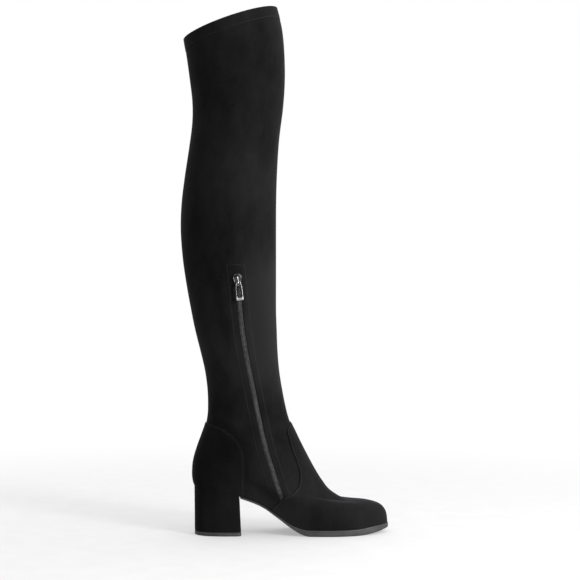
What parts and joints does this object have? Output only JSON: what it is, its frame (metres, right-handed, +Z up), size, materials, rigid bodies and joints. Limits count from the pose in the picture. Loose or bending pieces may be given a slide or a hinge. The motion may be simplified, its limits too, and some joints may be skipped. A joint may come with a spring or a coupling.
{
  "type": "thigh high boot",
  "caption": "Thigh high boot for the left foot: hollow stretch suede shaft with a medial zip, laid-on vamp and heel counter, block heel and thin sole.",
  "frame": {"origin": "on the floor, under the middle of the heel's top lift", "axes": "+X from heel to toe, +Y from the medial side with the zip to the lateral side, +Z up the shaft"},
  "size_m": [0.2642, 0.12, 0.666],
  "materials": {
    "suede": "black imitation suede with a fine nap",
    "lining": "black knitted lining",
    "sole_rubber": "dark grey, satin",
    "zip_weave": "woven tape",
    "zip_coil": "satin coil",
    "zip_metal": "polished"
  },
  "bodies": {
    "boot": {"upper": "suede", "vamp": "suede", "counter": "suede", "insole": "lining", "outsole": "sole_rubber", "heel_block": "suede", "heel_top_lift": "sole_rubber", "zip_tape": "zip_weave", "zip_teeth": "zip_coil", "zip_slider": "zip_metal"},
    "pull": {"zip_pull": "zip_metal"}
  },
  "joints": [
    {"name": "pull_hinge", "type": "hinge", "parent": "boot", "child": "pull", "pos_m": [0.02256, -0.05314, 0.31849], "axis": [-0.9914, -0.0626, -0.1152], "range_deg": [0, 155]}
  ]
}
